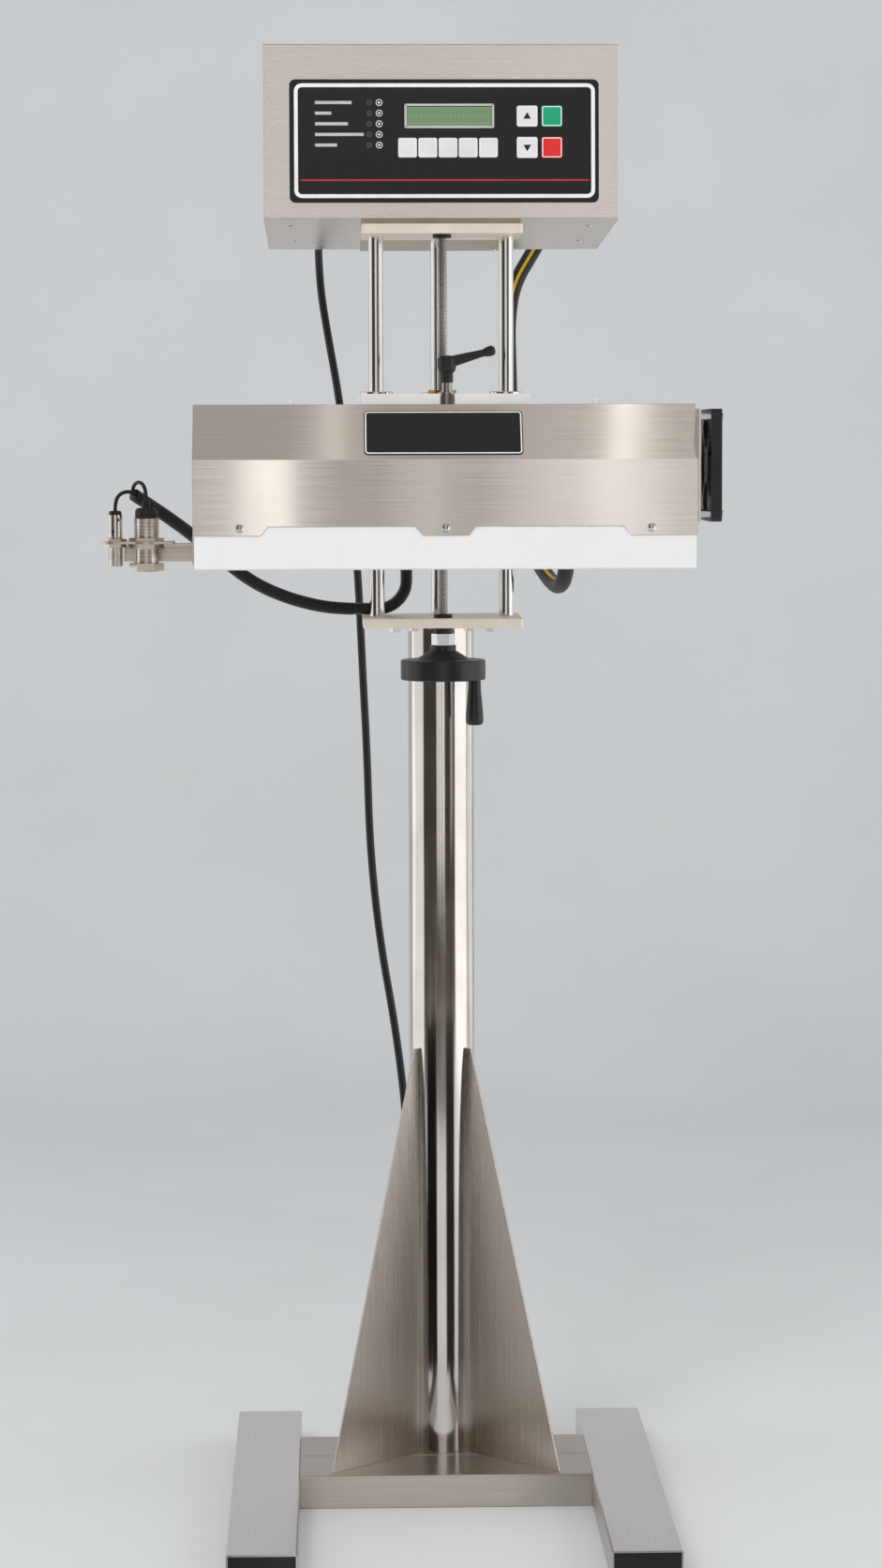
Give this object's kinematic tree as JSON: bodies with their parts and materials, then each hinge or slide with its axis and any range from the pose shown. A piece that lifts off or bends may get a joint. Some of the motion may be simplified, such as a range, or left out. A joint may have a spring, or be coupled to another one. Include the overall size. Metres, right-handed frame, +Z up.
{
  "type": "induction cap sealer",
  "caption": "Floor-standing induction cap sealer: control box and height-adjustable sealing head with sensors on a round column with gussets and two tube legs.",
  "frame": {"origin": "on the floor, on the axis of the round column", "axes": "+Z up, -Y towards the operator at the panel's front, +X to the operator's right, where the fan is"},
  "size_m": [0.7202, 0.9247, 1.7418],
  "materials": {
    "brushed_stainless": "fine straight grain, satin",
    "tube_stainless": "polished tube, satin",
    "machined_plate": "milled, matt",
    "hard_chrome": "ground and hard chromed",
    "screw_steel": "rolled thread, oiled",
    "zinc_fasteners": "bright zinc",
    "bronze": "turned",
    "black_plastic": "moulded, fine grain",
    "white_plastic": "milled polyethylene, matt",
    "copper_winding": "stranded",
    "ferrite": "sintered",
    "sensor_metal": "nickel plated brass, threaded",
    "black_cable": "matt sheath",
    "overlay_film": "printed film",
    "display_glass": "clear pane over a green display",
    "lens": "clear, unlit",
    "board": "lacquered",
    "heat_sink": "extruded",
    "grey_key": "printed film over a dome",
    "green_key": "printed film over a dome",
    "red_key": "printed film over a dome"
  },
  "bodies": {
    "stand": {"left_leg": "tube_stainless", "right_leg": "tube_stainless", "leg_end_caps": "black_plastic", "cross_tubes": "tube_stainless", "column": "tube_stainless", "gussets": "tube_stainless", "lower_plate": "machined_plate", "upper_plate": "machined_plate", "guide_rods": "hard_chrome", "tilt_wedge": "machined_plate", "stand_bolts": "zinc_fasteners", "screw_bushes": "black_plastic", "box_base": "brushed_stainless", "box_cover": "brushed_stainless", "box_glands": "black_plastic", "front_panel": "brushed_stainless", "panel_overlay": "overlay_film", "display_window": "display_glass", "indicator_lenses": "lens", "panel_board": "board", "power_module": "heat_sink", "mains_cable": "black_cable", "cable_coil": "black_cable", "mains_plug": "black_plastic"},
    "screw": {"lift_screw": "screw_steel", "hub_nut": "zinc_fasteners", "handwheel": "black_plastic"},
    "grip": {"wheel_grip": "black_plastic"},
    "head": {"carriage_plate": "machined_plate", "guide_bushings": "hard_chrome", "lift_nut": "bronze", "head_cover": "brushed_stainless", "coil_housing": "white_plastic", "coil_winding": "copper_winding", "ferrite_bars": "ferrite", "cover_screws": "zinc_fasteners", "post_caps": "white_plastic", "fan_frame": "black_plastic", "fan_standoffs": "zinc_fasteners", "sensor_arm": "machined_plate", "sensor_bracket": "machined_plate", "small_sensor": "sensor_metal", "large_sensor": "sensor_metal", "sensor_nuts": "zinc_fasteners", "sensor_leads": "black_cable", "sensor_conduit": "black_cable", "head_glands": "black_plastic", "coil_lead": "black_cable"},
    "lever": {"clamp_lever": "black_plastic", "lever_stud": "screw_steel"},
    "impeller": {"fan_impeller": "black_plastic"},
    "set_key_1_cap": {"set_key_1": "grey_key"},
    "set_key_2_cap": {"set_key_2": "grey_key"},
    "set_key_3_cap": {"set_key_3": "grey_key"},
    "set_key_4_cap": {"set_key_4": "grey_key"},
    "set_key_5_cap": {"set_key_5": "grey_key"},
    "up_key_cap": {"up_key": "grey_key"},
    "down_key_cap": {"down_key": "grey_key"},
    "start_key_cap": {"start_key": "green_key"},
    "stop_key_cap": {"stop_key": "red_key"}
  },
  "joints": [
    {"name": "screw_turn", "type": "hinge", "parent": "stand", "child": "screw", "pos_m": [0, -0.095, 1], "axis": [0, 0, -1], "range_deg": [0, 15000]},
    {"name": "head_lift", "type": "slide", "parent": "stand", "child": "head", "axis": [0, 0, 1], "range_m": [0, 0.125], "deforming": ["coil_lead"]},
    {"name": "grip_spin", "type": "hinge", "parent": "screw", "child": "grip", "pos_m": [0.0373, -0.095, 0.967], "axis": [0, 0, 1], "continuous": true},
    {"name": "lever_turn", "type": "hinge", "parent": "head", "child": "lever", "pos_m": [0.004, -0.138, 1.35], "axis": [0, 0, 1], "range_deg": [-75, 45]},
    {"name": "impeller_spin", "type": "hinge", "parent": "head", "child": "impeller", "pos_m": [0.3128, -0.163, 1.2472], "axis": [1, 0, 0], "continuous": true},
    {"name": "set_key_1_press", "type": "slide", "parent": "stand", "child": "set_key_1_cap", "axis": [0, 0.9991, -0.0434], "range_m": [0, 0.0006], "stiffness_N_per_m": 1500, "springref_m": -0.0005},
    {"name": "set_key_2_press", "type": "slide", "parent": "stand", "child": "set_key_2_cap", "axis": [0, 0.9991, -0.0434], "range_m": [0, 0.0006], "stiffness_N_per_m": 1500, "springref_m": -0.0005},
    {"name": "set_key_3_press", "type": "slide", "parent": "stand", "child": "set_key_3_cap", "axis": [0, 0.9991, -0.0434], "range_m": [0, 0.0006], "stiffness_N_per_m": 1500, "springref_m": -0.0005},
    {"name": "set_key_4_press", "type": "slide", "parent": "stand", "child": "set_key_4_cap", "axis": [0, 0.9991, -0.0434], "range_m": [0, 0.0006], "stiffness_N_per_m": 1500, "springref_m": -0.0005},
    {"name": "set_key_5_press", "type": "slide", "parent": "stand", "child": "set_key_5_cap", "axis": [0, 0.9991, -0.0434], "range_m": [0, 0.0006], "stiffness_N_per_m": 1500, "springref_m": -0.0005},
    {"name": "up_key_press", "type": "slide", "parent": "stand", "child": "up_key_cap", "axis": [0, 0.9991, -0.0434], "range_m": [0, 0.0006], "stiffness_N_per_m": 1500, "springref_m": -0.0005},
    {"name": "down_key_press", "type": "slide", "parent": "stand", "child": "down_key_cap", "axis": [0, 0.9991, -0.0434], "range_m": [0, 0.0006], "stiffness_N_per_m": 1500, "springref_m": -0.0005},
    {"name": "start_key_press", "type": "slide", "parent": "stand", "child": "start_key_cap", "axis": [0, 0.9991, -0.0434], "range_m": [0, 0.0006], "stiffness_N_per_m": 1500, "springref_m": -0.0005},
    {"name": "stop_key_press", "type": "slide", "parent": "stand", "child": "stop_key_cap", "axis": [0, 0.9991, -0.0434], "range_m": [0, 0.0006], "stiffness_N_per_m": 1500, "springref_m": -0.0005}
  ],
  "couplings": [
    {"joint": "screw_turn", "follows": "head_lift", "rad_per_m": 2094.4}
  ]
}
